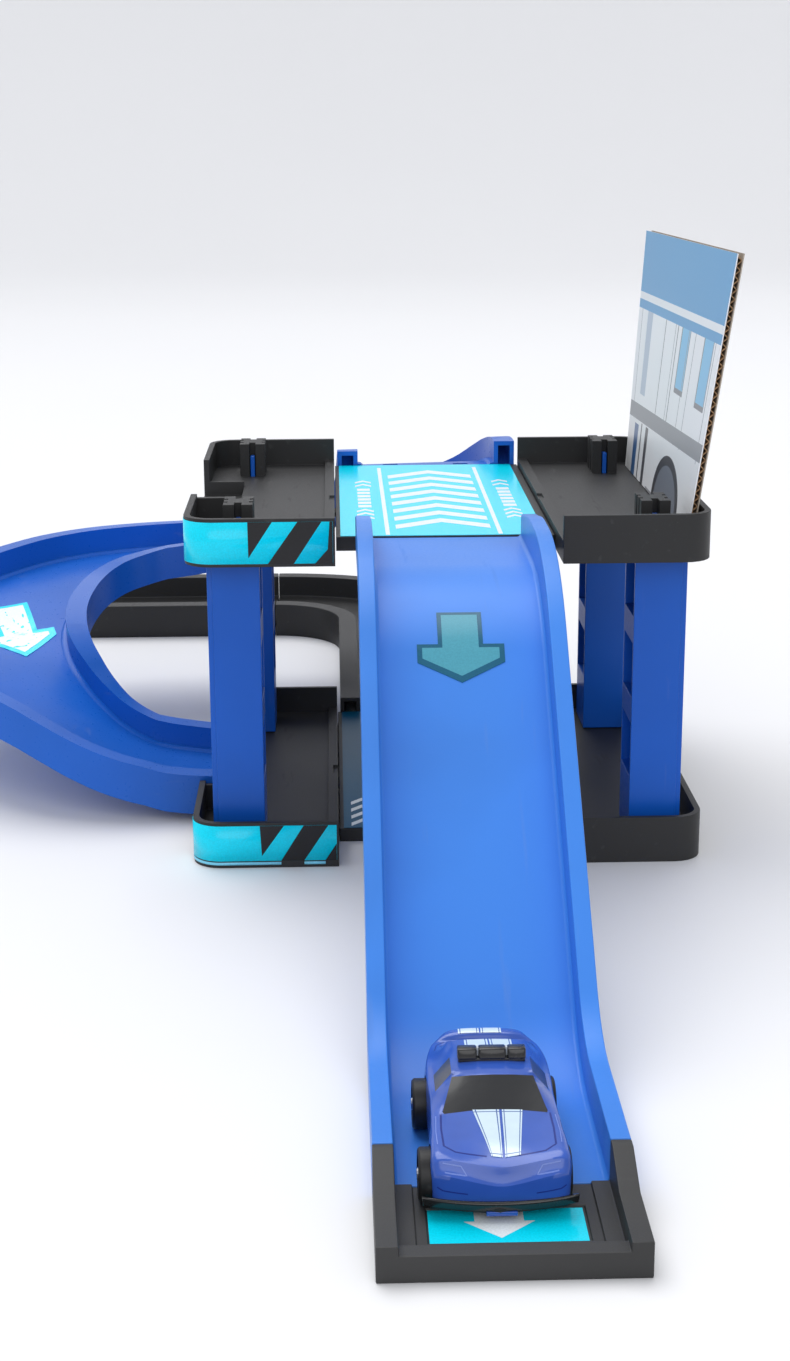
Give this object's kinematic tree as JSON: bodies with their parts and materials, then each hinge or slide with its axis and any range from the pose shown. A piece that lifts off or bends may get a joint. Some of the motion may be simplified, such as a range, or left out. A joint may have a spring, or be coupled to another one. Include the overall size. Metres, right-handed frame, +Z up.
{
  "type": "toy_parking_garage",
  "caption": "Two-level toy parking garage with a front slide and stop, a winding side track, a floor track, a card backdrop and a small toy car",
  "frame": {"origin": "on the table under the middle of the lower lane, centre of the rib under the lower lane plate", "axes": "+X to the right seen from the slide's foot, +Y from the front slide to the back, +Z up"},
  "size_m": [0.2848, 0.6008, 0.1863],
  "materials": {
    "track_blue": "glossy moulded",
    "tray_black": "satin moulded",
    "car_blue": "glossy",
    "car_black": "glossy",
    "wheel_black": "matte",
    "axle_steel": "drawn wire",
    "card_print": "printed"
  },
  "bodies": {
    "garage": {"column_front_left": "track_blue", "column_front_right": "track_blue", "column_rear_left": "track_blue", "column_rear_right": "track_blue", "floor_track_end": "tray_black", "floor_track_turn": "tray_black", "lower_lane": "tray_black", "lower_tray_left": "tray_black", "lower_tray_right": "tray_black", "slide": "track_blue", "slide_stop": "tray_black", "upper_lane": "tray_black", "upper_tray_left": "tray_black", "upper_tray_right": "tray_black", "winding_track": "track_blue"},
    "car": {"car_body": "car_blue", "car_chassis": "car_black", "car_light_bar": "car_black"},
    "front_wheelset": {"car_axle_front": "axle_steel", "car_wheel_front_left": "wheel_black", "car_wheel_front_right": "wheel_black"},
    "rear_wheelset": {"car_axle_rear": "axle_steel", "car_wheel_rear_left": "wheel_black", "car_wheel_rear_right": "wheel_black"},
    "backdrop": {"backdrop_card": "card_print"}
  },
  "joints": [
    {"name": "car_lift", "type": "slide", "parent": "garage", "child": "car", "axis": [0, 0, 1], "range_m": [0, 0.08]},
    {"name": "front_wheels_spin", "type": "hinge", "parent": "car", "child": "front_wheelset", "pos_m": [-0.0021, -0.28769, 0.0085], "axis": [1, 0, 0], "continuous": true},
    {"name": "rear_wheels_spin", "type": "hinge", "parent": "car", "child": "rear_wheelset", "pos_m": [-0.0021, -0.25549, 0.0085], "axis": [1, 0, 0], "continuous": true},
    {"name": "backdrop_lift", "type": "slide", "parent": "garage", "child": "backdrop", "axis": [0, 0, 1], "range_m": [0, 0.1]}
  ]
}
